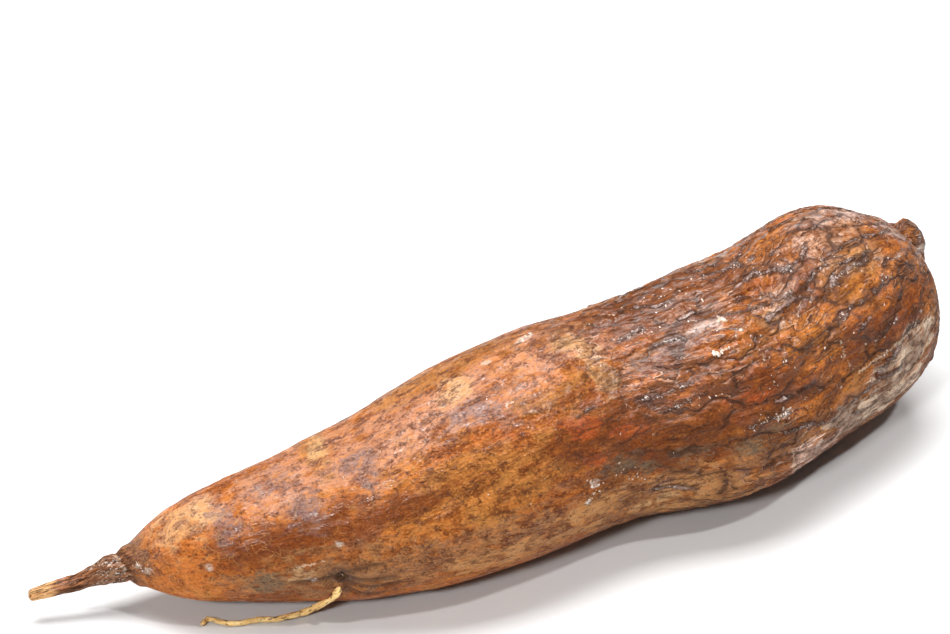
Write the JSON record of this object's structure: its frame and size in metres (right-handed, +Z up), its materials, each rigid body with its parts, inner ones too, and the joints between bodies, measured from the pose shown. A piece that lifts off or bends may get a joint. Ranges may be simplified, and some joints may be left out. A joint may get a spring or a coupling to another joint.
{
  "type": "cassava root",
  "caption": "Whole cassava root lying on its side: swollen, gently curved body with a domed crown, short stem stub, thin woody tail and a trailing side rootlet.",
  "frame": {"origin": "middle of the bounding box's underside, on the surface that the root lies on", "axes": "+X along the root from the thin tail to the crown and stem stub, +Z up, the side rootlet trails on the -Y side"},
  "size_m": [0.3096, 0.0902, 0.0723],
  "materials": {
    "root_skin": "satin"
  },
  "bodies": {
    "root": {"cassava_root": "root_skin"}
  },
  "joints": []
}
